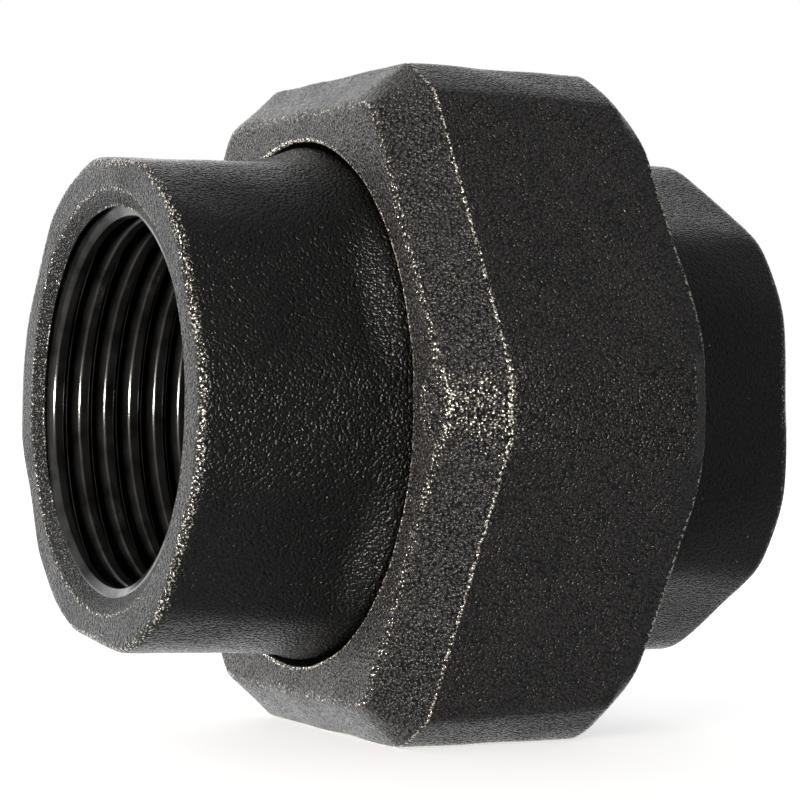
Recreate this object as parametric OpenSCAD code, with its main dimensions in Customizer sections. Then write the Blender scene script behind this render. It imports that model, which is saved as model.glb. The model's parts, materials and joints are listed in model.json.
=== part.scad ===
// Pipe union for 1 inch pipe, flat seat: a tail piece and a thread end with female
// pipe threads, a gasket between their faces, and a hexagonal nut that draws them together.
//
// The pipe axis is X. The tail piece is at -X and the thread end at +X. The origin is on
// the pipe axis, halfway between the two end faces, and the nut rests on its lower flat.
// Plain walls stand for the screw threads: the crest diameter in the two pipe sockets, and
// the pitch diameter where the nut turns on the thread end.

/* [Fitting] */
// Length from end face to end face
overall_len = 54.4; // [53:0.1:58]
// Crest diameter of the female pipe thread in each end
pipe_bore_d = 30.29; // [29:0.01:31]
// Depth of the threaded socket in each end
socket_depth = 18; // [16:0.5:19]
// Diameter of the waterway between the two sockets
waterway_d = 27.6; // [24:0.1:28]
// How far the chamfer round each socket's mouth goes out from the thread crests
mouth_in = 2.2; // [1:0.1:2.3]
// Depth of the chamfer round each socket's mouth
mouth_depth = 1.2; // [0.8:0.1:2]

/* [Tail piece] */
// Width across the flats of the tail piece's hexagon
tail_af = 40; // [39:0.1:40.4]
// Diameter over the rounded corners of the tail piece's hexagon
tail_corner_d = 41.2; // [40.6:0.1:43]
// Turn of the tail piece's hexagon about the pipe axis
tail_turn = 5; // [0:1:59]
// How far the bevel round the tail piece's end face comes in
tail_bevel_in = 0.9; // [0.4:0.1:2.4]
// Length of that bevel along the pipe axis
tail_bevel_len = 0.8; // [0.4:0.1:1.5]
// Distance of the shoulder between hexagon and neck from the end face
tail_shoulder = 14.8; // [12:0.1:15]
// Diameter of the tail piece's round neck, inside the nut
neck_d = 43.2; // [43:0.1:43.4]
// Diameter of the collar that the nut pulls on
collar_d = 47.4; // [46.8:0.1:47.6]
// Thickness of the collar
collar_thk = 4.5; // [3:0.1:5]

/* [Thread end] */
// Width across the flats of the thread end's hexagon
thread_end_af = 41; // [40:0.1:41.4]
// Diameter over the rounded corners of the thread end's hexagon
thread_end_corner_d = 43; // [42:0.1:43.8]
// Turn of the thread end's hexagon about the pipe axis
thread_end_turn = 29; // [0:1:59]
// How far the bevel round the thread end's end face comes in
thread_end_bevel_in = 2; // [1:0.1:2.4]
// Length of that bevel along the pipe axis
thread_end_bevel_len = 1.4; // [1:0.1:2]
// Length of the thread end's male thread
male_len = 9; // [8:0.1:9.5]

/* [Nut] */
// Width across the flats of the nut
nut_af = 55.6; // [55:0.1:58]
// Diameter over the rounded corners of the nut
nut_corner_d = 61.2; // [60:0.1:62.6]
// Length of the nut along the pipe axis
nut_len = 22.6; // [21:0.1:23]
// Distance of the nut's front face from the origin, on the tail side
nut_front = 10.2; // [10:0.1:11]
// Diameter of the hole in the nut's lip
lip_hole_d = 43.8; // [43.6:0.1:45]
// Thickness of the nut's lip
lip_thk = 4.5; // [3:0.1:5]
// Length of the sloping facets at the nut's front
facet_len = 4; // [3:0.1:5]
// How far the sloping facets come in from each flat
facet_in = 3.5; // [2:0.1:4]

/* [Coupling thread] */
// Pitch diameter of the thread between nut and thread end
coupling_d = 49.4; // [49:0.1:50]
// Diameter of the relief behind the nut's thread
relief_d = 51.2; // [50.8:0.1:51.6]
// Length of the relief behind the nut's thread
relief_len = 2.6; // [2:0.1:3]
// Radial clearance between the two plain thread walls
thread_gap = 0.05; // [0.02:0.01:0.1]
// Bevel at the start of each coupling thread
thread_bevel = 1; // [0.6:0.1:1.2]

/* [Gasket] */
// Thickness of the gasket
gasket_thk = 2; // [1.5:0.1:2.5]
// Outer diameter of the gasket
gasket_od = 45.4; // [44:0.1:46]
// Inner diameter of the gasket
gasket_id = 30; // [29:0.1:32]

/* [Hidden] */

$fn = 96;
CUT = 1;              // how far a cutting tool runs past the face that it opens
NUT_CHAMFER = 40;     // angle of the turned chamfer at the nut's back, from the face
SHOULDER_LEN = 2.4;   // length of the cone between a round part and a hexagon
RUNOUT_LEN = 1.4;     // length of the cone at the bottom of a socket

end_face = overall_len / 2;
collar_back = -nut_front + lip_thk;
seal_face_tail = collar_back + collar_thk;
seal_face_thread = seal_face_tail + gasket_thk;
nut_back = nut_len - nut_front;
male_end = seal_face_thread + male_len;

IRON = [0.11, 0.11, 0.12];
FIBRE = [0.42, 0.47, 0.44];

// Draws its children, made along Z, along the pipe axis X, turned about it.
module along_pipe(turn = 0) {
    rotate([turn, 0, 0]) rotate([0, 90, 0]) children();
}

// A round bar from one place on the pipe axis to another.
module round_bar(x0, x1, d0, d1) {
    along_pipe() translate([0, 0, x0]) cylinder(h = x1 - x0, d1 = d0, d2 = d1);
}

// A hexagonal bar with turned corners; a flat is at the top when turn is 0.
module hex_bar(x0, x1, across_flats, corner_d, turn) {
    intersection() {
        along_pipe(turn) translate([0, 0, x0]) rotate([0, 0, 30])
            cylinder(h = x1 - x0, d = across_flats / cos(30), $fn = 6);
        round_bar(x0, x1, corner_d, corner_d);
    }
}

// The six planes that slope in from a hexagon's flats, from x0 on towards +X.
module facet_cuts(x0, across_flats, come_in, length, turn = 0) {
    reach = 3 * (come_in + length);
    for (side = [0 : 5])
        rotate([turn + side * 60, 0, 0])
            translate([x0, 0, across_flats / 2])
                rotate([0, atan2(come_in, length), 0])
                    translate([-reach, -across_flats / 2, 0])
                        cube([2 * reach, across_flats, across_flats / 4]);
}

// A hexagonal end from start to the end face at +X, with its bevelled rim.
module hex_end(start, across_flats, corner_d, bevel_in, bevel_len, turn) {
    bevel_start = end_face - bevel_len;
    difference() {
        intersection() {
            hex_bar(start, end_face, across_flats, corner_d, turn);
            union() {
                round_bar(start, bevel_start, 2 * across_flats, 2 * across_flats);
                round_bar(bevel_start, end_face, corner_d, corner_d - 2 * bevel_in);
            }
        }
        facet_cuts(bevel_start, across_flats, bevel_in, bevel_len, turn);
    }
}

// The cone that trims the nut's corners at its back face.
module back_chamfer() {
    rise = tan(NUT_CHAMFER) * (nut_corner_d - nut_af) / 2;
    round_bar(-nut_front, nut_back - rise, nut_corner_d, nut_corner_d);
    round_bar(nut_back - rise, nut_back, nut_corner_d, nut_af);
}

// A pipe socket at +X that narrows to the waterway, cut as far as the sealing face.
module socket_cut(sealing_face) {
    socket_end = end_face - socket_depth;
    round_bar(sealing_face - CUT, socket_end, waterway_d, waterway_d);
    round_bar(socket_end - RUNOUT_LEN, socket_end, waterway_d, pipe_bore_d);
    round_bar(socket_end, end_face + CUT, pipe_bore_d, pipe_bore_d);
    round_bar(end_face - mouth_depth, end_face, pipe_bore_d, pipe_bore_d + 2 * mouth_in);
}

// The end that carries the male coupling thread.
module thread_end() {
    color(IRON)
        difference() {
            union() {
                round_bar(seal_face_thread, seal_face_thread + thread_bevel,
                    coupling_d - 2 * thread_bevel, coupling_d);
                round_bar(seal_face_thread + thread_bevel, male_end, coupling_d, coupling_d);
                round_bar(male_end, male_end + SHOULDER_LEN, coupling_d, thread_end_af);
                hex_end(male_end, thread_end_af, thread_end_corner_d,
                    thread_end_bevel_in, thread_end_bevel_len, thread_end_turn);
            }
            socket_cut(seal_face_thread);
        }
}

// The flat ring that is squeezed between the two sealing faces.
module gasket() {
    color(FIBRE)
        difference() {
            round_bar(seal_face_tail, seal_face_thread, gasket_od, gasket_od);
            round_bar(seal_face_tail - CUT, seal_face_thread + CUT, gasket_id, gasket_id);
        }
}

// The end that the nut pulls by its collar, drawn facing +X and then turned round.
module tail_piece() {
    neck_end = end_face - tail_shoulder - SHOULDER_LEN;
    color(IRON)
        rotate([0, 0, 180])
            difference() {
                union() {
                    round_bar(-seal_face_tail, -collar_back, collar_d, collar_d);
                    round_bar(-collar_back, neck_end, neck_d, neck_d);
                    round_bar(neck_end, neck_end + SHOULDER_LEN, neck_d, tail_af - 1);
                    hex_end(-collar_back, tail_af, tail_corner_d,
                        tail_bevel_in, tail_bevel_len, -tail_turn);
                }
                socket_cut(-seal_face_tail);
            }
}

// The nut, with its lip on the tail side and its thread open at the back.
module union_nut() {
    thread_start = collar_back + relief_len;
    bore_d = coupling_d + 2 * thread_gap;
    color(IRON)
        difference() {
            intersection() {
                hex_bar(-nut_front, nut_back, nut_af, nut_corner_d, 0);
                back_chamfer();
            }
            rotate([0, 0, 180])
                facet_cuts(nut_front - facet_len, nut_af, facet_in, facet_len);
            round_bar(-nut_front - CUT, collar_back + CUT, lip_hole_d, lip_hole_d);
            round_bar(collar_back, thread_start, relief_d, relief_d);
            round_bar(thread_start - CUT, nut_back + CUT, bore_d, bore_d);
            round_bar(nut_back - thread_bevel, nut_back + CUT,
                bore_d, bore_d + 2 * (thread_bevel + CUT));
        }
}

thread_end();
gasket();
tail_piece();
union_nut();
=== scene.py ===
"""A 1 inch iron pipe union with a flat seat: its cast ends, nut and gasket, dressed for rendering.

Each piece is one closed ring surface round the pipe axis, which is X. Its cross-section is a loop of
corners, each rounded, whose radius may change with the angle round the axis, and a screw thread is a
groove whose depth depends on both the place along the axis and the angle. Lengths are in millimetres
until a mesh is made, apart from those in the materials, which are in metres.
"""

import json
import logging
import math
from collections.abc import Callable
from dataclasses import dataclass
from enum import Enum
from typing import Any

import bpy
import numpy as np
from mathutils import Matrix, Vector


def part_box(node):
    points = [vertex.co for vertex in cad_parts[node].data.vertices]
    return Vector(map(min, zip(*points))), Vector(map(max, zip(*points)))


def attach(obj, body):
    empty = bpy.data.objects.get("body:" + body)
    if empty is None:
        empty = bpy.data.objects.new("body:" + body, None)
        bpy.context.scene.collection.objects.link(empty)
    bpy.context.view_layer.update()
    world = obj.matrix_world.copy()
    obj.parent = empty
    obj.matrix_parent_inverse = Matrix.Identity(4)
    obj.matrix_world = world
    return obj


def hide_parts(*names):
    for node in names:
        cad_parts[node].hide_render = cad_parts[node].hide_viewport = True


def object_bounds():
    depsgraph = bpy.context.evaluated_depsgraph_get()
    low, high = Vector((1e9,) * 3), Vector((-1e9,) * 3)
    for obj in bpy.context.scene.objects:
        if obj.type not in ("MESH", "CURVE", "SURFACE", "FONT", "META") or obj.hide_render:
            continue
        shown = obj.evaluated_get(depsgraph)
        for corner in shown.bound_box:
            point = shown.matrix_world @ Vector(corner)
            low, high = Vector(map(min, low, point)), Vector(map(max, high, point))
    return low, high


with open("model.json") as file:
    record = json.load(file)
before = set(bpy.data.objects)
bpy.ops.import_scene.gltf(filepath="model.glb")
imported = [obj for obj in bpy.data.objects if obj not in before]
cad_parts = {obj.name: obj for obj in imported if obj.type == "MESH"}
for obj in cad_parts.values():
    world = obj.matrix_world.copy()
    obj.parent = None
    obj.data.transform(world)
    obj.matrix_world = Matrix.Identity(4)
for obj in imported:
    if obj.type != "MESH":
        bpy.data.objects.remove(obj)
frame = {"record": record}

CAD_BOX = [list(corner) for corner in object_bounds()]

MM = 0.001
TURN = 2 * math.pi
EDGE_ATTRIBUTE = "edge"
EDGE_RADIUS = 1.1

log = logging.getLogger("union")

Array = np.ndarray
Colour = tuple[float, float, float]


# ---------------------------------------------------------------- shader maths


class Sock:
    """A value or colour in a shader graph. Each arithmetic operator adds one Math node."""

    def __init__(self, graph: "Graph", output: bpy.types.NodeSocket) -> None:
        """Wraps one output socket of a node in the graph."""
        self.graph = graph
        self.output = output

    def _math(self, operation: str, first: Any, second: Any) -> "Sock":
        """Adds a Math node that works on two values."""
        return self.graph.add("ShaderNodeMath", {"operation": operation}, {0: first, 1: second})

    def __add__(self, other: Any) -> "Sock":
        """self + other."""
        return self._math("ADD", self, other)

    def __radd__(self, other: Any) -> "Sock":
        """other + self."""
        return self._math("ADD", other, self)

    def __sub__(self, other: Any) -> "Sock":
        """self - other."""
        return self._math("SUBTRACT", self, other)

    def __rsub__(self, other: Any) -> "Sock":
        """other - self."""
        return self._math("SUBTRACT", other, self)

    def __mul__(self, other: Any) -> "Sock":
        """self * other."""
        return self._math("MULTIPLY", self, other)

    def __rmul__(self, other: Any) -> "Sock":
        """other * self."""
        return self._math("MULTIPLY", other, self)

    def other(self, name: str) -> "Sock":
        """Another output of the same node."""
        return Sock(self.graph, self.output.node.outputs[name])


class Graph:
    """One material's node tree, with the Object coordinates ready as a vector in metres."""

    def __init__(self, name: str) -> None:
        """Makes an empty node material.

        Args:
            name: the material's name.
        """
        self.material = bpy.data.materials.new(name)
        self.material.use_nodes = True
        self.tree = self.material.node_tree
        self.tree.nodes.clear()
        self.place = self.add("ShaderNodeTexCoord", output="Object")

    def add(self, kind: str, settings: dict[str, Any] | None = None,
            inputs: dict[int | str, Any] | None = None, output: int | str = 0) -> Sock:
        """Adds any node.

        Args:
            kind: the node's type name.
            settings: properties that are set first.
            inputs: socket name or number to a value or a Sock to link.
            output: name or number of the output to return.

        Returns:
            The chosen output.
        """
        node = self.tree.nodes.new(kind)
        for key, value in (settings or {}).items():
            setattr(node, key, value)
        for key, value in (inputs or {}).items():
            if isinstance(value, Sock):
                self.tree.links.new(value.output, node.inputs[key])
            else:
                node.inputs[key].default_value = value
        return Sock(self, node.outputs[output])

    def noise(self, scale: float, detail: float = 2.0, vector: Sock | None = None,
              output: str = "Fac") -> Sock:
        """A Noise Texture of the given cells per metre, as a value or a colour."""
        inputs = {"Vector": vector or self.place, "Scale": scale, "Detail": detail}
        return self.add("ShaderNodeTexNoise", None, inputs, output)

    def step(self, value: Sock, low: float, high: float) -> Sock:
        """A smooth step that is 0 where value is at low and 1 where it is at high."""
        settings = {"interpolation_type": "SMOOTHSTEP"}
        return self.add("ShaderNodeMapRange", settings, {"Value": value, 1: low, 2: high})

    def blend(self, factor: Sock, first: Any, second: Any) -> Sock:
        """Mixes two colours by a factor."""
        ends = [end if isinstance(end, Sock) else (*end, 1.0) for end in (first, second)]
        inputs = {0: factor, 6: ends[0], 7: ends[1]}
        return self.add("ShaderNodeMix", {"data_type": "RGBA"}, inputs, 2)

    def warped(self, scale: float, reach: float) -> Sock:
        """Object coordinates pushed about by up to reach metres each way, which makes cells irregular."""
        push = self.noise(scale, 1.0, output="Color")
        centred = self.add("ShaderNodeVectorMath", {"operation": "SUBTRACT"}, {0: push, 1: (0.5, 0.5, 0.5)})
        scaled = self.add("ShaderNodeVectorMath", {"operation": "SCALE"}, {0: centred, "Scale": 2 * reach})
        return self.add("ShaderNodeVectorMath", None, {0: self.place, 1: scaled})

    def cells(self, scale: float, vector: Sock) -> Sock:
        """Distance to the nearest cell's middle in a Voronoi Texture of the given cells per metre."""
        return self.add("ShaderNodeTexVoronoi", None, {"Vector": vector, "Scale": scale}, "Distance")

    def bump(self, height: Sock, distance: float) -> Sock:
        """A Bump node for a height of 0 to 1 that stands for distance metres."""
        inputs = {"Height": height, "Distance": distance, "Strength": 1.0}
        return self.add("ShaderNodeBump", None, inputs, "Normal")

    def finish(self, sockets: dict[str, Any]) -> bpy.types.Material:
        """Adds the Principled shader and the output.

        Args:
            sockets: the shader's socket names with their values or links.

        Returns:
            The finished material.
        """
        shader = self.add("ShaderNodeBsdfPrincipled", None, sockets, "BSDF")
        surface = self.tree.nodes.new("ShaderNodeOutputMaterial").inputs["Surface"]
        self.tree.links.new(shader.output, surface)
        return self.material


# ---------------------------------------------------------------- finishes


@dataclass(frozen=True)
class CastSkin:
    """Black casting skin: pebbled grains with painted shade in the creases between them, burnished edges
    and a few bright specks.
    """

    name: str
    crease_shade: Colour
    grain: Colour
    haze: Colour
    bare: Colour = (0.66, 0.62, 0.55)
    grains_per_m: float = 3900.0
    grain_height: float = 0.0002
    warp_per_m: float = 2400.0
    warp_reach: float = 0.00008
    dome_relief: float = 0.7
    pits_per_m: float = 5200.0
    pit_relief: float = 0.6
    top_range: tuple[float, float] = (0.5, 1.0)
    patches_per_m: float = 210.0
    patch_range: tuple[float, float] = (0.4, 0.8)
    patch_haze: float = 0.18
    specks_per_m: float = 700.0
    speck_radii: tuple[float, float] = (0.03, 0.05)
    speck_range: tuple[float, float] = (0.66, 0.70)
    roughness: float = 0.17
    crease_dulling: float = 0.2
    patch_dulling: float = 0.12
    shine: float = 0.24
    bare_metal: float = 0.85
    edge_wear: float = 0.75
    pit_wear: float = 2.2
    dome_wear: float = 1.2
    usual_dome: float = 0.7
    wear_range: tuple[float, float] = (0.92, 1.2)
    worn_bareness: float = 0.8

    def material(self) -> bpy.types.Material:
        """Builds the material.

        The height is a dome on each grain, 1 - distance^2, with finer pits on it. The creases between
        the grains get a painted shade. Edge wear comes from the mesh's edge attribute, broken up by the
        grains and pits, so that it bares some grains and leaves others black; on the nut the attribute
        also holds a painted highlight on its front corner. Specks are the middles of a few larger cells.

        Returns:
            The material.
        """
        graph = Graph(self.name)
        distance = graph.cells(self.grains_per_m, graph.warped(self.warp_per_m, self.warp_reach))
        domes = 1.0 - distance * distance
        pits = graph.noise(self.pits_per_m)
        patches = graph.noise(self.patches_per_m, 3.0)
        tops = graph.step(domes + (pits - 0.5) * self.pit_relief, *self.top_range)

        # On the nut the edge attribute also holds a patch that is partly a painted highlight, so the wear
        # below is partly painted highlight there.
        edge = graph.add("ShaderNodeAttribute", {"attribute_name": EDGE_ATTRIBUTE}, output="Fac")
        broken = (pits - 0.5) * self.pit_wear + (domes - self.usual_dome) * self.dome_wear
        wear = graph.step(edge * self.edge_wear + broken, *self.wear_range)
        spot = graph.cells(self.specks_per_m, graph.place)
        chosen = graph.step(spot.other("Color"), *self.speck_range)
        speck = (1.0 - graph.step(spot, *self.speck_radii)) * chosen
        bare = graph.step(wear * self.worn_bareness + speck, 0.0, 1.0)

        # The creases between the grains get a painted shade, a colour far darker than the grains'.
        paint_with_crease_shade = graph.blend(tops, self.crease_shade, self.grain)
        hazy = graph.step(patches, *self.patch_range) * self.patch_haze
        paint_with_crease_shade = graph.blend(hazy, paint_with_crease_shade, self.haze)
        dulled = (patches - 0.5) * self.patch_dulling + (1.0 - tops) * self.crease_dulling
        height = domes * self.dome_relief + pits * self.pit_relief
        return graph.finish({
            "Base Color": graph.blend(bare, paint_with_crease_shade, self.bare),
            "Roughness": self.roughness + dulled,
            "Specular IOR Level": self.shine,
            "Metallic": bare * self.bare_metal,
            "Normal": graph.bump(height, self.grain_height),
        })


# In each skin the darkest colour is the painted shade for the creases between the grains.
END_SKIN = CastSkin(
    "end_skin",
    crease_shade=(0.0008, 0.0008, 0.0008),
    grain=(0.003, 0.003, 0.0032),
    haze=(0.004, 0.004, 0.0042),
    shine=0.3,
)
NUT_SKIN = CastSkin(
    "nut_skin",
    crease_shade=(0.002, 0.0019, 0.002),
    grain=(0.021, 0.0194, 0.0203),
    haze=(0.024, 0.0222, 0.0233),
    grain_height=0.0003,
    edge_wear=1.0,
)


@dataclass(frozen=True)
class MachinedThread:
    """Machined iron, blackened and oiled: turning lines round the axis and a little staining."""

    name: str = "machined_iron"
    clean: Colour = (0.09, 0.09, 0.092)
    stain: Colour = (0.022, 0.022, 0.0228)
    lines_per_m: float = 5200.0
    lines_across_per_m: float = 160.0
    line_height: float = 0.000012
    stains_per_m: float = 420.0
    stain_range: tuple[float, float] = (0.35, 0.75)
    roughness: float = 0.12
    stain_dulling: float = 0.08
    line_dulling: float = 0.06
    metal: float = 0.92

    def material(self) -> bpy.types.Material:
        """Builds the material. The turning lines are noise squeezed along the pipe axis.

        Returns:
            The material.
        """
        graph = Graph(self.name)
        scale = (self.lines_per_m, self.lines_across_per_m, self.lines_across_per_m)
        squeezed = graph.add("ShaderNodeMapping", None, {"Vector": graph.place, "Scale": scale})
        lines = graph.noise(1.0, vector=squeezed)
        stained = graph.step(graph.noise(self.stains_per_m, 4.0), *self.stain_range)
        return graph.finish({
            "Base Color": graph.blend(stained, self.clean, self.stain),
            "Roughness": self.roughness + stained * self.stain_dulling + lines * self.line_dulling,
            "Metallic": self.metal,
            "Normal": graph.bump(lines, self.line_height),
        })


@dataclass(frozen=True)
class GasketSheet:
    """Grey-green fibre sheet: short matted fibres and a dusty surface."""

    name: str = "gasket_sheet"
    light: Colour = (0.19, 0.235, 0.20)
    dark: Colour = (0.085, 0.11, 0.095)
    fibres_per_m: float = 3600.0
    fibre_share: float = 0.7
    fibre_height: float = 0.00005
    fibre_dulling: float = 0.2
    warp_per_m: float = 900.0
    warp_reach: float = 0.0012
    blotches_per_m: float = 260.0
    blotch_share: float = 0.3
    light_range: tuple[float, float] = (0.35, 0.65)
    roughness: float = 0.72

    def material(self) -> bpy.types.Material:
        """Builds the material. The fibres are fine noise on warped coordinates.

        Returns:
            The material.
        """
        graph = Graph(self.name)
        warped = graph.warped(self.warp_per_m, self.warp_reach)
        fibres = graph.noise(self.fibres_per_m, 4.0, warped)
        blotches = graph.noise(self.blotches_per_m)
        mixed = graph.step(fibres * self.fibre_share + blotches * self.blotch_share, *self.light_range)
        return graph.finish({
            "Base Color": graph.blend(mixed, self.dark, self.light),
            "Roughness": self.roughness + fibres * self.fibre_dulling,
            "Normal": graph.bump(fibres, self.fibre_height),
        })


@dataclass(frozen=True)
class StudioFloor:
    """Pale floor with a painted glow, weaker near the object and stronger away from it, until it meets the
    white surroundings.
    """

    name: str = "studio_floor"
    colour: Colour = (0.86, 0.86, 0.86)
    near_glow: Colour = (0.75, 0.75, 0.75)
    far_glow: Colour = (1.0, 1.0, 1.0)
    glow_strength: float = 0.8
    fade: tuple[float, float] = (0.02, 0.25)
    roughness: float = 0.75

    def material(self) -> bpy.types.Material:
        """Builds the material.

        Returns:
            The material.
        """
        graph = Graph(self.name)
        reach = graph.add("ShaderNodeVectorMath", {"operation": "LENGTH"}, {0: graph.place}, "Value")
        glow = graph.step(reach, *self.fade)
        return graph.finish({
            "Base Color": (*self.colour, 1.0),
            "Roughness": self.roughness,
            # The emission is painted light: a glow that grows away from the object.
            "Emission Color": graph.blend(glow, self.near_glow, self.far_glow),
            "Emission Strength": self.glow_strength,
        })


class Finish(Enum):
    """Which finish one side of a cross-section has; the value is its place in the material slots."""

    CAST = 0
    MACHINED = 1


# ---------------------------------------------------------------- ring surfaces


class Gender(Enum):
    """Whether a thread is cut into a hole or round a shaft; the value is the way its groove goes."""

    FEMALE = 1
    MALE = -1


@dataclass(frozen=True)
class Thread:
    """A right-hand pipe thread form, cut from its crest radius.

    The groove's depth depends only on how far the place is from the nearest crest, which lies on a
    helix: phase = x / pitch - angle / turn. The depth is 0 on the crest's share of the pitch and
    full on the root's share, and between them it follows a flank that is half straight and half
    cosine, so its ends are rounded. The groove fades to nothing from fade_from to fade_to.
    """

    gender: Gender
    crest: float
    depth: float
    pitch: float
    fade_from: float
    fade_to: float
    crest_share: float = 0.16
    root_share: float = 0.16

    def cut(self, x: Array, r: Array, angle: Array) -> Array:
        """Cuts the thread into a wall.

        Args:
            x: places along the axis.
            r: the wall's radius there.
            angle: angles round the axis.

        Returns:
            The wall's radius with the grooves cut.
        """
        phase = (x / self.pitch - angle / TURN) % 1.0
        away = 1.0 - np.abs(2.0 * phase - 1.0)
        flank_share = 1.0 - self.crest_share - self.root_share
        flank = np.clip((away - self.crest_share) / flank_share, 0.0, 1.0)
        form = 0.5 * flank + 0.5 * (0.5 - 0.5 * np.cos(math.pi * flank))
        fade = np.clip((x - self.fade_to) / (self.fade_from - self.fade_to), 0.0, 1.0)
        groove = self.crest + self.gender.value * self.depth * form * fade
        return np.maximum(r, groove) if self.gender is Gender.FEMALE else np.minimum(r, groove)


@dataclass(frozen=True)
class Corner:
    """One corner of a ring's cross-section, and the side from it to the next corner.

    x and r are a number, or an array with one value for each angle. cut is how far the corner's
    rounding reaches along both its sides, and rows is how many rows of faces the side gets.
    """

    x: float | Array
    r: float | Array
    cut: float = 0.0
    rows: int = 1
    finish: Finish = Finish.CAST
    thread: Thread | None = None


@dataclass(frozen=True)
class Waviness:
    """The slow unevenness of a casting: waves in seeded directions and lengths, always inwards."""

    depth: float = 0.14
    length: float = 9.0
    spread: tuple[float, float] = (0.5, 1.6)
    waves: int = 14
    seed: int = 7

    def at(self, points: Array) -> Array:
        """How far in each point is, in millimetres: half the depth, more or less by a sum of sines."""
        rng = np.random.default_rng(self.seed)
        direction = rng.normal(size=(self.waves, 3))
        direction /= np.linalg.norm(direction, axis=1, keepdims=True)
        number = TURN / (self.length * rng.uniform(*self.spread, self.waves))
        phase = rng.uniform(0.0, TURN, self.waves)
        total = np.sin(points @ (direction * number[:, None]).T + phase).sum(axis=-1)
        return self.depth * (0.5 + 0.5 * np.tanh(total / math.sqrt(self.waves)))


def hexagon(angle: Array, apothem: float, corner: float, turn: float, soft: float = 0.12) -> Array:
    """Radius of a hexagon with turned corners.

    The radius of the flats is apothem / cos(angle from the flat's middle). It and the corners'
    radius meet in a soft minimum: -soft * log(exp(-flats / soft) + exp(-corner / soft)).

    Args:
        angle: angles about +X, from +Y, in radians.
        apothem: distance of the flats from the axis.
        corner: radius over the corners.
        turn: how far the hexagon is turned about +X from having flats at the top, in degrees.
        soft: length over which a flat runs into its corner.

    Returns:
        The radius at each angle.
    """
    sixth = TURN / 6
    off = (angle - math.radians(turn)) % sixth - sixth / 2
    flats = apothem / np.cos(off)
    nearest = np.minimum(flats, corner)
    return nearest - soft * np.log(np.exp((nearest - flats) / soft) + np.exp((nearest - corner) / soft))


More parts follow.
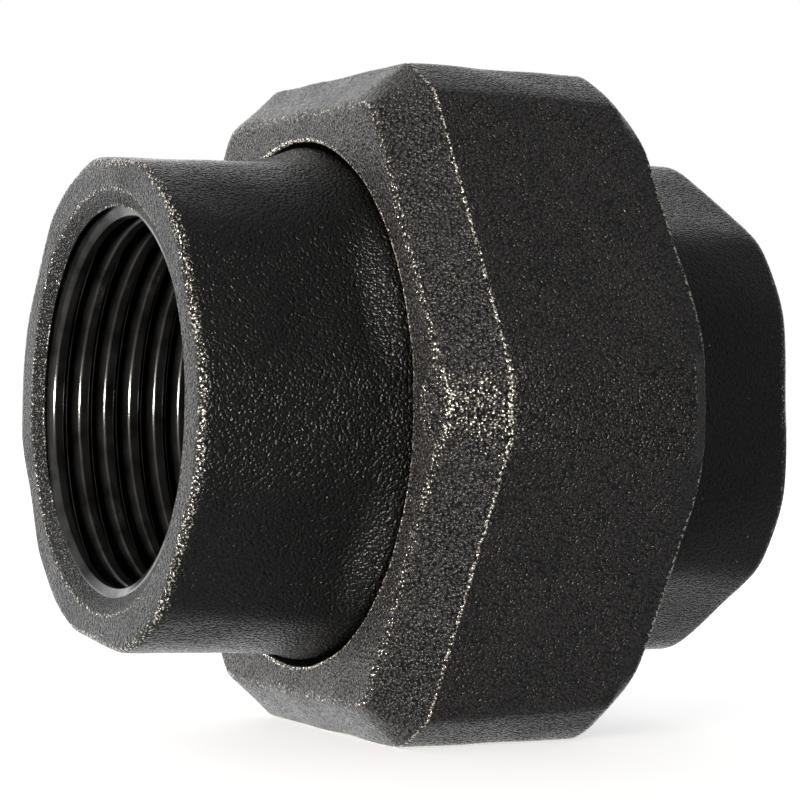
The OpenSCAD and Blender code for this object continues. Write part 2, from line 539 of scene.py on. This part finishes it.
@dataclass
class Ring:
    """A closed ring surface: a loop of corners carried round the pipe axis."""

    name: str
    corners: list[Corner]
    angles: int = 300
    round_rows: int = 5
    waviness: Waviness | None = None

    def _rows(self, angle: Array) -> tuple[Array, Array, Array]:
        """Samples the loop.

        Each corner is the curve (1-t)^2 a + 2t(1-t) v + t^2 b, where v is the corner and a and b
        lie on its sides at the length of its cut. The sides between are straight, and a threaded
        side is then cut by its thread.

        Args:
            angle: the angles round the axis.

        Returns:
            x and r with a row for each sample, and each row's finish.
        """
        count = len(self.corners)
        points = np.stack([np.stack(np.broadcast_arrays(c.x, c.r, angle)[:2], -1) for c in self.corners])
        points = points.astype(float)
        ahead = np.roll(points, -1, axis=0) - points
        ahead /= np.linalg.norm(ahead, axis=-1, keepdims=True)
        behind = np.roll(ahead, 1, axis=0)
        cuts = np.array([corner.cut for corner in self.corners])[:, None, None]
        enter, leave = points - cuts * behind, points + cuts * ahead
        x_rows, r_rows, finishes = [], [], []
        for here in range(count):
            corner, there = self.corners[here], (here + 1) % count
            steps = self.round_rows if corner.cut else 1
            t = (np.arange(steps) / steps)[:, None, None] if corner.cut else np.ones((1, 1, 1))
            curve = (1 - t) ** 2 * enter[here] + 2 * t * (1 - t) * points[here] + t ** 2 * leave[here]
            first = 0 if corner.cut else 1
            s = (np.arange(first, corner.rows) / corner.rows)[:, None, None]
            side = (1 - s) * leave[here] + s * enter[there]
            both = np.concatenate([curve, side])
            x, r = both[..., 0], both[..., 1]
            if corner.thread:
                r = corner.thread.cut(x, r, angle[None, :])
            x_rows.append(x)
            r_rows.append(r)
            finishes += [corner.finish.value] * len(both)
        return np.concatenate(x_rows), np.concatenate(r_rows), np.array(finishes)

    @staticmethod
    def _normals(points: Array) -> Array:
        """Unit normals of a grid that closes both ways: the cross product of its two differences."""
        along = np.roll(points, -1, axis=0) - np.roll(points, 1, axis=0)
        about = np.roll(points, -1, axis=1) - np.roll(points, 1, axis=1)
        normal = np.cross(along, about)
        return normal / np.maximum(np.linalg.norm(normal, axis=-1, keepdims=True), 1e-9)

    @staticmethod
    def _edge(points: Array, normal: Array) -> Array:
        """How sharp the surface is at each point, from 0 on a flat to 1 on an outer edge.

        It is EDGE_RADIUS times the larger curvature of the grid's two ways: the change of the normal
        along the step between the points two places away, over that step's length squared.
        """
        sharp = np.zeros(points.shape[:2])
        reach = 2
        for axis in (0, 1):
            step = np.roll(points, -reach, axis=axis) - np.roll(points, reach, axis=axis)
            turn = np.roll(normal, -reach, axis=axis) - np.roll(normal, reach, axis=axis)
            length = np.maximum((step ** 2).sum(-1), 1e-4)
            sharp = np.maximum(sharp, (turn * step).sum(-1) / length)
        return np.clip(sharp * EDGE_RADIUS, 0.0, 1.0)

    def build(self, materials: list[bpy.types.Material],
              marks: Callable[[Array], Array] | None = None,
              added_wear_and_highlight: Callable[[Array], Array] | None = None) -> bpy.types.Object:
        """Makes the mesh object.

        Args:
            materials: one for each finish, in order.
            marks: a function that moves the points of the grid, for a feature on one side only.
            added_wear_and_highlight: a function of the points that gives wear to add to the edges' own; the
                nut's is partly a painted highlight.

        Returns:
            The object, at the origin, with its place in its mesh.
        """
        angle = np.arange(self.angles) * TURN / self.angles
        x, r, finish = self._rows(angle)
        points = np.stack([x, r * np.cos(angle), r * np.sin(angle)], -1)
        normal = self._normals(points)
        middle = points.mean(axis=1, keepdims=True)
        outwards = float(((points - middle) * normal)[np.argmax(r.max(axis=1))].sum())
        flipped = outwards < 0
        normal = -normal if flipped else normal
        if self.waviness:
            cast = (finish == Finish.CAST.value).astype(float)[:, None]
            points = points - normal * (self.waviness.at(points) * cast)[..., None]
        if marks:
            points = marks(points)
        edge = self._edge(points, -self._normals(points) if flipped else self._normals(points))
        # The added wear is partly a painted highlight on the nut's front corner.
        if added_wear_and_highlight:
            edge = np.minimum(edge + added_wear_and_highlight(points), 1.0)

        rows, columns = x.shape
        number = np.arange(rows * columns).reshape(rows, columns)
        down, across = np.roll(number, -1, axis=0), np.roll(number, -1, axis=1)
        quads = np.stack([number, down, np.roll(down, -1, axis=1), across], -1).reshape(-1, 4)
        if flipped:
            quads = quads[:, ::-1]
        mesh = bpy.data.meshes.new(self.name)
        mesh.vertices.add(rows * columns)
        mesh.vertices.foreach_set("co", (points * MM).reshape(-1).astype(np.float32))
        mesh.loops.add(quads.size)
        mesh.loops.foreach_set("vertex_index", quads.reshape(-1).astype(np.int32))
        mesh.polygons.add(len(quads))
        mesh.polygons.foreach_set("loop_start", np.arange(0, quads.size, 4, dtype=np.int32))
        mesh.polygons.foreach_set("material_index", np.repeat(finish, columns).astype(np.int32))
        mesh.polygons.foreach_set("use_smooth", np.ones(len(quads), dtype=bool))
        for material in materials:
            mesh.materials.append(material)
        layer = mesh.attributes.new(EDGE_ATTRIBUTE, "FLOAT", "POINT")
        layer.data.foreach_set("value", edge.reshape(-1).astype(np.float32))
        mesh.update(calc_edges=True)
        mesh.validate()
        piece = bpy.data.objects.new(self.name, mesh)
        bpy.context.scene.collection.objects.link(piece)
        return piece


# ---------------------------------------------------------------- the union's pieces


@dataclass(frozen=True)
class Seats:
    """Where the pieces meet along the pipe axis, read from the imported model."""

    tail_face: float
    tail_seal: float
    thread_seal: float
    thread_face: float
    nut_front: float
    nut_back: float
    nut_apothem: float
    nut_corner: float
    gasket_radius: float
    port: float

    @staticmethod
    def read() -> "Seats":
        """Reads the boxes of the CAD nodes and the radius of the pipe sockets.

        Returns:
            The seats, in millimetres.
        """
        boxes = {node: np.array([list(corner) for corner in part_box(node)]) / MM
                 for node in ("tail_piece", "thread_end", "union_nut", "gasket")}
        tail, thread_end = boxes["tail_piece"], boxes["thread_end"]
        nut, gasket = boxes["union_nut"], boxes["gasket"]
        port = next(mount for mount in frame["record"]["mounts"] if mount["name"] == "tail_port")
        return Seats(
            tail_face=tail[0, 0],
            tail_seal=tail[1, 0],
            thread_seal=thread_end[0, 0],
            thread_face=thread_end[1, 0],
            nut_front=nut[0, 0],
            nut_back=nut[1, 0],
            nut_apothem=nut[1, 2],
            nut_corner=nut[1, 1],
            gasket_radius=gasket[1, 2],
            port=port["dims"]["r_mm"],
        )


@dataclass
class PipeSocket:
    """The threaded socket and waterway inside one end. side is -1 at the tail and 1 at the thread end."""

    face: float
    side: int
    crest: float
    pitch: float = 2.309
    groove: float = 1.479
    length: float = 18.0
    chamfer_in: float = 2.2
    chamfer_depth: float = 1.2
    cast_share: float = 0.66
    runout: float = 1.4
    waterway: float = 13.8
    fade: float = 4.0
    crest_share: float = 0.32
    root_share: float = 0.1

    def corners(self, seal: float) -> list[Corner]:
        """The cross-section from the sealing face out to the mouth's chamfer.

        The chamfer is cast from the end face down to cast_share of its depth, and machined below.

        Args:
            seal: place of the sealing face along the axis.

        Returns:
            The corners in order.
        """
        bottom = self.face - self.side * self.length
        thread = Thread(Gender.FEMALE, self.crest, self.groove, self.pitch,
                        bottom + self.side * self.fade, bottom, self.crest_share, self.root_share)
        lead = self.face - self.side * self.chamfer_depth
        skin = self.face - self.side * self.chamfer_depth * self.cast_share
        turned = Finish.MACHINED
        return [
            Corner(seal, self.waterway, 0.2, 6, turned),
            Corner(bottom - self.side * self.runout, self.waterway, 0.3, 3, turned),
            Corner(bottom, self.crest, 0.0, 150, turned, thread),
            Corner(lead, self.crest, 0.0, 8, turned, thread),
            Corner(skin, self.crest + self.chamfer_in * (1.0 - self.cast_share), 0.0, 10),
        ]

    @property
    def mouth(self) -> float:
        """Radius of the chamfer at the end face."""
        return self.crest + self.chamfer_in


@dataclass
class TailPiece:
    """The near end: a hexagonal socket, a round neck through the nut, and the collar it pulls on."""

    seats: Seats
    apothem: float = 19.9
    corner: float = 20.55
    shoulder_corner: float = 21.3
    turn: float = 5.0
    rim: float = 0.9
    shoulder: float = 14.6
    flare: float = 2.2
    draft: float = 0.35
    neck: float = 21.55
    collar: float = 23.7
    collar_length: float = 4.5
    angles: int = 300

    def build(self, materials: list[bpy.types.Material]) -> bpy.types.Object:
        """Builds the piece and has it ride on the tail's body.

        Args:
            materials: the cast and the machined finish.

        Returns:
            The piece.
        """
        angle = np.arange(self.angles) * TURN / self.angles
        face, seal = self.seats.tail_face, self.seats.tail_seal
        flats = hexagon(angle, self.apothem, self.corner, self.turn)
        full = hexagon(angle, self.apothem + self.draft, self.shoulder_corner, self.turn)
        socket = PipeSocket(face, -1, self.seats.port)
        collar_front = seal - self.collar_length
        neck_start = face + self.shoulder + self.flare
        turned = Finish.MACHINED
        corners = [
            Corner(face, socket.mouth, 0.3, 8),
            Corner(face, flats, self.rim, 34),
            Corner(face + self.shoulder, full, 0.8, 5),
            Corner(neck_start, self.neck, 0.5, 7),
            Corner(collar_front, self.neck, 0.0, 3, turned),
            Corner(collar_front, self.collar, 0.25, 5, turned),
            Corner(seal, self.collar, 0.4, 14, turned),
            *socket.corners(seal),
        ]
        piece = Ring("tail_piece_casting", corners, self.angles, 6, Waviness(seed=11)).build(materials)
        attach(piece, "tail_piece")
        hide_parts("tail_piece")
        return piece


@dataclass
class ThreadEnd:
    """The far end: a hexagonal socket and the male thread that the nut runs on."""

    seats: Seats
    apothem: float = 20.5
    corner: float = 21.7
    soft: float = 0.3
    turn: float = 29.0
    bevel_in: float = 2.0
    bevel_length: float = 1.4
    shoulder: float = 15.0
    major: float = 25.42
    groove: float = 1.48
    pitch: float = 2.309
    thread_length: float = 8.9
    fade: float = 2.0
    undercut: float = 23.75
    undercut_slope: float = 0.6
    lead: float = 1.4
    lead_in: float = 1.7
    angles: int = 256

    def build(self, materials: list[bpy.types.Material]) -> bpy.types.Object:
        """Builds the piece and has it ride on the thread end's body.

        Args:
            materials: the cast and the machined finish.

        Returns:
            The piece.
        """
        angle = np.arange(self.angles) * TURN / self.angles
        face, seal = self.seats.thread_face, self.seats.thread_seal
        flats = hexagon(angle, self.apothem, self.corner, self.turn, self.soft)
        socket = PipeSocket(face, 1, self.seats.port)
        thread_end = seal + self.thread_length
        thread = Thread(Gender.MALE, self.major, self.groove, self.pitch,
                        thread_end - self.fade, thread_end)
        turned = Finish.MACHINED
        corners = [
            Corner(face, socket.mouth, 0.35, 5),
            Corner(face, flats - self.bevel_in, 0.45, 8),
            Corner(face - self.bevel_length, flats, 0.7, 26),
            Corner(face - self.shoulder, flats, 1.0, 5),
            Corner(thread_end + self.undercut_slope, self.undercut, 0.4, 3, turned),
            Corner(thread_end, self.major, 0.0, 84, turned, thread),
            Corner(seal + self.lead, self.major, 0.0, 14, turned, thread),
            Corner(seal, self.major - self.lead_in, 0.0, 12, turned),
            *socket.corners(seal),
        ]
        piece = Ring("thread_end_casting", corners, self.angles, 6, Waviness(seed=23)).build(materials)
        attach(piece, "thread_end")
        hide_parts("thread_end")
        return piece


@dataclass
class UnionNut:
    """The hexagonal nut: sloping facets round its front, a lip on the collar and a female thread."""

    seats: Seats
    facet_length: float = 4.0
    facet_in: float = 3.5
    facet_corner_in: float = 3.0
    facet_soft: float = 0.3
    corner_taper: float = 0.2
    hole: float = 21.9
    lip: float = 4.5
    relief: float = 25.6
    relief_length: float = 2.6
    relief_slope: float = 0.6
    root: float = 25.46
    groove: float = 1.48
    pitch: float = 2.309
    fade: float = 0.8
    back_bevel: float = 1.9
    back_in: float = 0.25
    back_corner: float = 28.9
    back_soft: float = 0.2
    mouth: float = 26.0
    boss_radius: float = 25.0
    boss_height: float = 0.7
    boss_size: tuple[float, float] = (1.25, 2.3)
    boss_band: float = 2.0
    # A patch of bare-metal colour on the near front corner, where the lamp's highlight falls: partly wear,
    # partly a painted highlight.
    highlight_wear_radius: float = 29.0
    highlight_wear_depth: float = 2.6
    highlight_wear_share: float = 0.62
    highlight_wear_reach: float = 4.8
    angles: int = 360

    def _marks(self, points: Array) -> Array:
        """Raises a plain oval boss on the front face, towards -Y.

        Its height is boss_height / (1 + d^6), where d is the distance from its middle over its size,
        and it goes to nothing over the last millimetre of the band behind the front face.

        Args:
            points: the grid, in millimetres.

        Returns:
            The grid with the boss.
        """
        across = (points[..., 1] + self.boss_radius) / self.boss_size[0]
        along = points[..., 2] / self.boss_size[1]
        front = np.clip(self.seats.nut_front + self.boss_band - points[..., 0], 0.0, 1.0)
        height = self.boss_height / (1.0 + (across ** 2 + along ** 2) ** 3)
        raised = points.copy()
        raised[..., 0] -= height * front
        return raised

    def _wear_and_highlight(self, points: Array) -> Array:
        """Wear beside the boss, partly a painted highlight on the near front corner, where the lamp's
        highlight falls: highlight_wear_share * exp(-(d / highlight_wear_reach)^2).

        d is the distance from the middle of the corner's facet, in millimetres.

        Args:
            points: the nut's grid.

        Returns:
            The wear and painted highlight to add at each point.
        """
        middle = np.array([self.seats.nut_front + self.highlight_wear_depth, -self.highlight_wear_radius, 0.0])
        distance_squared = ((points - middle) ** 2).sum(axis=-1)
        return self.highlight_wear_share * np.exp(-distance_squared / self.highlight_wear_reach ** 2)

    def build(self, materials: list[bpy.types.Material]) -> bpy.types.Object:
        """Builds the nut and has it ride on its own body.

        Args:
            materials: the cast and the machined finish.

        Returns:
            The piece.
        """
        angle = np.arange(self.angles) * TURN / self.angles
        front, back = self.seats.nut_front, self.seats.nut_back
        apothem, corner = self.seats.nut_apothem, self.seats.nut_corner
        crest = self.root - self.groove
        lip_face = front + self.lip
        thread_start = lip_face + self.relief_length
        thread = Thread(Gender.FEMALE, crest, self.groove, self.pitch,
                        thread_start + self.fade, thread_start)
        inner = hexagon(angle, apothem - self.facet_in, corner - self.facet_corner_in, 0.0, self.facet_soft)
        outer = hexagon(angle, apothem, corner, 0.0)
        trimmed = hexagon(angle, apothem, corner - self.corner_taper, 0.0)
        rear = hexagon(angle, apothem - self.back_in, self.back_corner, 0.0, self.back_soft)
        turned = Finish.MACHINED
        corners = [
            Corner(front, self.hole, 0.35, 9),
            Corner(front, inner, 0.8, 8),
            Corner(front + self.facet_length, outer, 0.3, 40),
            Corner(back - self.back_bevel, trimmed, 0.6, 6),
            Corner(back, rear, 0.35, 4),
            Corner(back, self.mouth, 0.15, 1, turned),
            Corner(back - (self.mouth - crest), crest, 0.0, 118, turned, thread),
            Corner(thread_start, crest, 0.0, 3, turned),
            Corner(thread_start - self.relief_slope, self.relief, 0.2, 3, turned),
            Corner(lip_face, self.relief, 0.3, 4, turned),
            Corner(lip_face, self.hole, 0.3, 6, turned),
        ]
        ring = Ring("union_nut_casting", corners, self.angles, 6, Waviness(seed=5))
        piece = ring.build(materials, self._marks, self._wear_and_highlight)
        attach(piece, "union_nut")
        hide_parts("union_nut")
        return piece


@dataclass
class Gasket:
    """The flat ring between the two sealing faces."""

    seats: Seats
    inner: float = 15.0
    angles: int = 240

    def build(self, materials: list[bpy.types.Material]) -> bpy.types.Object:
        """Builds the gasket and has it ride on the thread end's body.

        Args:
            materials: the sheet's finish.

        Returns:
            The piece.
        """
        near, far, outer = self.seats.tail_seal, self.seats.thread_seal, self.seats.gasket_radius
        corners = [
            Corner(near, self.inner, 0.3, 20),
            Corner(near, outer, 0.3, 4),
            Corner(far, outer, 0.3, 20),
            Corner(far, self.inner, 0.3, 4),
        ]
        piece = Ring("gasket_ring", corners, self.angles).build(materials)
        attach(piece, "thread_end")
        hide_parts("gasket")
        return piece


# ---------------------------------------------------------------- studio


@dataclass(frozen=True)
class SoftBox:
    """A rectangular studio lamp that is aimed at the origin: low, wide and a little warm."""

    name: str = "key"
    azimuth: float = -68.0
    elevation: float = 0.0
    distance: float = 0.5
    width: float = 0.32
    height: float = 0.045
    watts: float = 8.0
    colour: Colour = (1.0, 0.945, 0.85)

    def build(self) -> None:
        """Adds the lamp. Azimuth 0 is on the -Y side and 90 on the +X side."""
        data = bpy.data.lights.new(self.name, "AREA")
        data.shape, data.size, data.size_y = "RECTANGLE", self.width, self.height
        data.energy, data.color = self.watts, self.colour
        lamp = bpy.data.objects.new(self.name, data)
        back = direction(self.azimuth, self.elevation)
        lamp.location = back * self.distance
        lamp.rotation_euler = (-back).to_track_quat("-Z", "Y").to_euler()
        bpy.context.scene.collection.objects.link(lamp)


def direction(azimuth: float, elevation: float) -> Vector:
    """Unit vector from the origin towards a view's camera, with angles in degrees."""
    around, up = math.radians(azimuth), math.radians(elevation)
    return Vector((math.sin(around) * math.cos(up), -math.cos(around) * math.cos(up), math.sin(up)))


@dataclass(frozen=True)
class Studio:
    """Pale floor with a painted glow, plain soft light, and the camera."""

    azimuth: float = -27.04
    distance: float = 0.2343
    aim_height: float = 0.00044
    roll: float = 0.59
    lens: float = 122.8
    sensor: float = 36.0
    clip: tuple[float, float] = (0.01, 20.0)
    floor_radius: float = 3.0
    floor_sides: int = 96
    sky_front: float = 0.36
    sky_back: float = 2.0
    sky_azimuth: float = 168.0
    sky_edges: tuple[float, float] = (0.60, 0.97)

    def camera(self) -> None:
        """Adds the camera, level with the pipe axis."""
        data = bpy.data.cameras.new("camera")
        data.lens = self.lens
        data.sensor_width = self.sensor
        data.clip_start, data.clip_end = self.clip
        camera = bpy.data.objects.new("camera", data)
        back = direction(self.azimuth, 0.0)
        place = back * self.distance
        look = Vector((0, 0, self.aim_height)) - place
        turn = look.to_track_quat("-Z", "Y").to_matrix().to_4x4()
        roll = Matrix.Rotation(math.radians(self.roll), 4, "Z")
        camera.matrix_world = Matrix.Translation(place) @ turn @ roll
        bpy.context.scene.collection.objects.link(camera)
        bpy.context.scene.camera = camera

    def floor(self, height: float) -> None:
        """Adds a round floor.

        Args:
            height: the level that the object rests on, in metres.
        """
        count = self.floor_sides
        angle = np.arange(count) * TURN / count
        rim = np.stack([np.cos(angle), np.sin(angle), np.zeros(count)], -1) * self.floor_radius
        rim[:, 2] = height
        mesh = bpy.data.meshes.new("floor")
        mesh.from_pydata(rim.tolist(), [], [list(range(count))])
        mesh.materials.append(StudioFloor().material())
        floor = bpy.data.objects.new("floor", mesh)
        floor.visible_diffuse = floor.visible_glossy = False
        bpy.context.scene.collection.objects.link(floor)

    def sky(self) -> None:
        """Sets the surroundings: bright behind the object, dim all round it, and white to the eye."""
        world = bpy.data.worlds.new("studio")
        bpy.context.scene.world = world
        world.use_nodes = True
        tree = world.node_tree
        tree.nodes.clear()
        place = tree.nodes.new("ShaderNodeTexCoord")
        facing = tree.nodes.new("ShaderNodeVectorMath")
        facing.operation = "DOT_PRODUCT"
        facing.inputs[1].default_value = direction(self.sky_azimuth, 0.0)
        tree.links.new(place.outputs["Generated"], facing.inputs[0])
        ramp = tree.nodes.new("ShaderNodeMapRange")
        ramp.interpolation_type = "SMOOTHSTEP"
        for socket, value in enumerate((*self.sky_edges, self.sky_front, self.sky_back), 1):
            ramp.inputs[socket].default_value = value
        tree.links.new(facing.outputs["Value"], ramp.inputs["Value"])
        light, plain = (tree.nodes.new("ShaderNodeBackground") for _ in range(2))
        tree.links.new(ramp.outputs["Result"], light.inputs["Strength"])
        plain.inputs["Strength"].default_value = 1.0
        for node in (light, plain):
            node.inputs["Color"].default_value = (1.0, 1.0, 1.0, 1.0)
        path = tree.nodes.new("ShaderNodeLightPath")
        mix = tree.nodes.new("ShaderNodeMixShader")
        tree.links.new(path.outputs["Is Camera Ray"], mix.inputs[0])
        tree.links.new(light.outputs[0], mix.inputs[1])
        tree.links.new(plain.outputs[0], mix.inputs[2])
        out = tree.nodes.new("ShaderNodeOutputWorld")
        tree.links.new(mix.outputs[0], out.inputs["Surface"])

    def build(self, floor_height: float) -> None:
        """Builds the studio.

        Args:
            floor_height: the level that the object rests on, in metres.
        """
        self.camera()
        self.floor(floor_height)
        self.sky()
        SoftBox().build()
        bpy.context.scene.view_settings.view_transform = "Standard"


# ---------------------------------------------------------------- main


def main() -> None:
    """Builds the studio and the union."""
    logging.basicConfig(level=logging.INFO, format="%(name)s: %(message)s")
    seats = Seats.read()
    Studio().build(CAD_BOX[0][2])
    machined = MachinedThread().material()
    ends, nut = [END_SKIN.material(), machined], [NUT_SKIN.material(), machined]
    parts = [(TailPiece(seats), ends), (ThreadEnd(seats), ends), (UnionNut(seats), nut),
             (Gasket(seats), [GasketSheet().material()])]
    for part, materials in parts:
        piece = part.build(materials)
        log.info("%s: %d faces", piece.name, len(piece.data.polygons))


if __name__ == "__main__":
    main()
